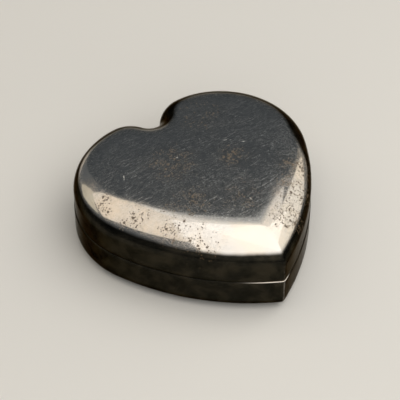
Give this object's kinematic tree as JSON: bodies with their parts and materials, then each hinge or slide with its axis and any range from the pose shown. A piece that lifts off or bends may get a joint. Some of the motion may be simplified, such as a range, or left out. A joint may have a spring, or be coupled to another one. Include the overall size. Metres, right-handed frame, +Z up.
{
  "type": "heart-shaped trinket box",
  "caption": "Small heart-shaped metal trinket box with a domed lift-off lid, an inner collar and a velvet lining.",
  "frame": {"origin": "centre of the heart's bounding box on the surface the box stands on, at the underside of the felt", "axes": "+Z up; +X across the two lobes; the heart's point is towards -Y and the lobes towards +Y; the heart is symmetric about the plane X = 0"},
  "size_m": [0.08, 0.0788, 0.0284],
  "materials": {
    "plated_metal": "polished silver plate, tarnished, finely scratched and pitted brown",
    "collar_metal": "bright silver plate, lightly toned",
    "velvet": "short-pile velvet, midnight blue",
    "card": "grey-brown pasteboard",
    "wadding": "off-white cotton wadding",
    "felt": "dark pressed felt"
  },
  "bodies": {
    "base": {"base_pan": "plated_metal", "base_collar": "collar_metal", "base_felt": "felt", "floor_board": "card", "floor_wadding": "wadding", "floor_velvet": "velvet", "wall_strip": "card", "wall_velvet": "velvet"},
    "lid": {"lid_shell": "plated_metal", "lid_board": "card", "lid_wadding": "wadding", "lid_velvet": "velvet"}
  },
  "joints": [
    {"name": "lid_lift", "type": "slide", "parent": "base", "child": "lid", "axis": [0, 0, 1], "range_m": [0, 0.06]}
  ]
}
